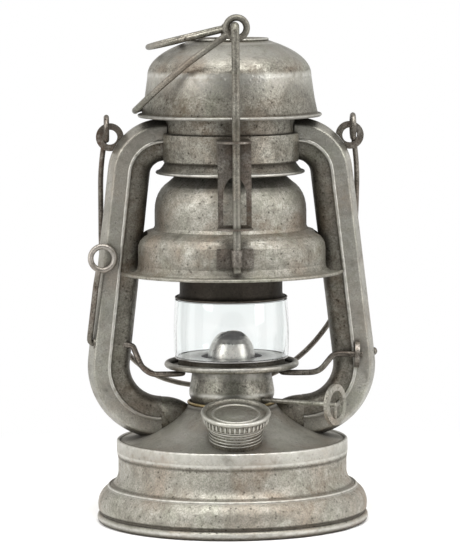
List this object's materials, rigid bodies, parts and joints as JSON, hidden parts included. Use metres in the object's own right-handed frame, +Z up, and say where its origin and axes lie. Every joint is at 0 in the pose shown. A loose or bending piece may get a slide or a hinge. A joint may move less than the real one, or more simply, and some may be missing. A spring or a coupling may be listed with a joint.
{
  "type": "hurricane lantern",
  "caption": "Tin hurricane lantern with side air tubes, screw-cap fount, glass globe on a lever-lifted dish, sliding bell on a guide rod, wick knob, hood ring and wire bail",
  "frame": {"origin": "centre of the flat ring that the foot stands on", "axes": "+Z up along the lantern axis, -Y toward the filler cap and guide rod, -X toward the globe lever"},
  "size_m": [0.152, 0.1422, 0.2649],
  "materials": {
    "old_tin": "worn tin plate, mottled and pitted",
    "bright_tin": "clean tin plate",
    "brown_steel": "steel wire with brown patina",
    "sooted_steel": "heat-darkened sheet",
    "burner_brass": "aged brass",
    "globe_glass": "clear pressed glass",
    "cotton_wick": "woven cotton",
    "cork_seal": "oiled sealing ring"
  },
  "bodies": {
    "lantern": {"fount_shell": "old_tin", "fount_bottom": "old_tin", "fount_top": "old_tin", "burner_collar": "burner_brass", "filler_neck": "old_tin", "left_tube_outer": "old_tin", "left_tube_inner": "old_tin", "right_tube_outer": "old_tin", "right_tube_inner": "old_tin", "left_ear": "brown_steel", "right_ear": "brown_steel", "air_chamber": "old_tin", "collar_band": "old_tin", "guide_bracket": "old_tin", "hood": "old_tin", "hood_baffle": "sooted_steel", "crown_plate": "old_tin", "ring_lug": "old_tin", "burner_body": "old_tin", "burner_deck": "old_tin", "burner_cone": "bright_tin", "wick_tube": "burner_brass", "lifter_bush": "brown_steel", "lifter_eye": "brown_steel", "lifter_rivet": "brown_steel"},
    "bail": {"bail": "brown_steel"},
    "hood_ring": {"hood_ring": "old_tin"},
    "globe_lifter": {"globe_lifter": "brown_steel"},
    "globe_carriage": {"globe_dish": "old_tin", "globe_disc": "bright_tin", "globe": "globe_glass"},
    "bell_body": {"bell": "old_tin", "chimney_tube": "sooted_steel", "rod_clip": "old_tin", "front_rod": "old_tin"},
    "top_wire": {"top_wire": "old_tin"},
    "wick_knob": {"wick_shaft": "old_tin", "wick_wheels": "burner_brass"},
    "wick": {"wick": "cotton_wick"},
    "cap_seal": {"cap_seal": "cork_seal"},
    "filler_cap": {"filler_cap": "old_tin"}
  },
  "joints": [
    {"name": "bail_swing", "type": "hinge", "parent": "lantern", "child": "bail", "pos_m": [0, 0, 0.2052], "axis": [1, 0, 0], "range_deg": [0, 225]},
    {"name": "ring_flip", "type": "hinge", "parent": "lantern", "child": "hood_ring", "pos_m": [-0.0015, 0, 0.2567], "axis": [0, 1, 0], "range_deg": [0, 160]},
    {"name": "lifter_turn", "type": "hinge", "parent": "lantern", "child": "globe_lifter", "pos_m": [0.066, -0.0133, 0.0874], "axis": [0.9978, -0.0448, -0.0484], "range_deg": [0, 8.75]},
    {"name": "carriage_lift", "type": "slide", "parent": "lantern", "child": "globe_carriage", "axis": [0, 0, 1], "range_m": [0, 0.006]},
    {"name": "bell_lift", "type": "slide", "parent": "globe_carriage", "child": "bell_body", "axis": [0, 0, 1], "range_m": [0, 0.0024]},
    {"name": "top_wire_turn", "type": "hinge", "parent": "bell_body", "child": "top_wire", "pos_m": [0.0008, -0.0475, 0.259], "axis": [0, 1, 0], "range_deg": [0, 130]},
    {"name": "wick_turn", "type": "hinge", "parent": "lantern", "child": "wick_knob", "pos_m": [-0.00256, -0.00406, 0.0646], "axis": [0.8464, -0.5326, 0], "range_deg": [-90, 180]},
    {"name": "wick_raise", "type": "slide", "parent": "lantern", "child": "wick", "axis": [0, 0, 1], "range_m": [-0.0057, 0.0114]},
    {"name": "cap_lift", "type": "slide", "parent": "lantern", "child": "cap_seal", "axis": [0, -0.2588, 0.9659], "range_m": [0, 0.006]},
    {"name": "cap_turn", "type": "hinge", "parent": "cap_seal", "child": "filler_cap", "pos_m": [0, -0.045, 0.063], "axis": [0, -0.2588, 0.9659], "range_deg": [0, 720]}
  ],
  "couplings": [
    {"joint": "carriage_lift", "follows": "lifter_turn", "m_per_rad": 0.0386},
    {"joint": "wick_raise", "follows": "wick_turn", "m_per_rad": 0.0036},
    {"joint": "cap_lift", "follows": "cap_turn", "m_per_rad": 0.00047746}
  ]
}
